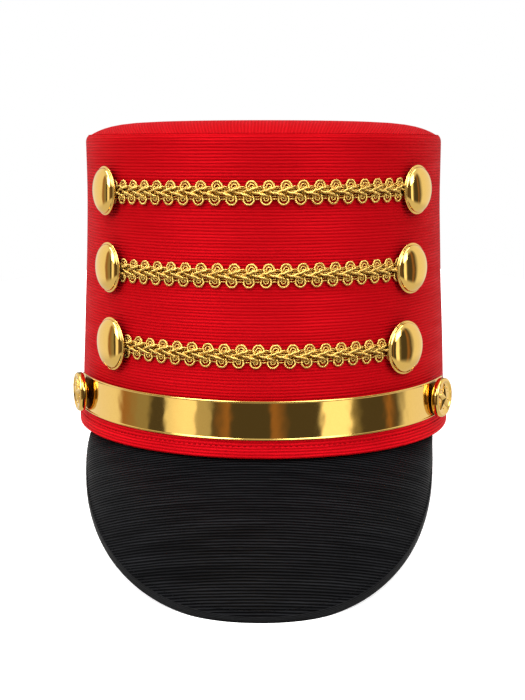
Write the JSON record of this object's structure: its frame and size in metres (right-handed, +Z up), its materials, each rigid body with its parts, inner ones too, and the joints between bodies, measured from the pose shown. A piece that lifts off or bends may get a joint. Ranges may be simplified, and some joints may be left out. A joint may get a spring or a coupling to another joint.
{
  "type": "shako hat",
  "caption": "Oval shako hat of ribbed cloth with a domed crown, folded hem, sloping peak, gilt front band with star buttons, and braid rows held by domed buttons.",
  "frame": {"origin": "middle of the hat's box, on the surface that the hat rests on", "axes": "+Z up from the surface, -Y towards the front of the hat, where the peak is, +X to the wearer's left, the right side seen from the front; the hat's own axis leans back from +Z towards +Y"},
  "size_m": [0.1788, 0.285, 0.1727],
  "materials": {
    "red_cloth": "ribbed cloth with a silky sheen",
    "black_cloth": "ribbed cloth with a soft sheen",
    "gilt": "polished gilt",
    "gold_braid": "twisted metallic thread"
  },
  "bodies": {
    "root": {"wall": "red_cloth", "crown": "red_cloth", "hem": "red_cloth", "peak": "black_cloth", "band": "gilt", "star_button_left": "gilt", "star_button_right": "gilt", "braid_top": "gold_braid", "button_top_left": "gilt", "button_top_right": "gilt", "braid_middle": "gold_braid", "button_middle_left": "gilt", "button_middle_right": "gilt", "braid_bottom": "gold_braid", "button_bottom_left": "gilt", "button_bottom_right": "gilt"}
  },
  "joints": []
}
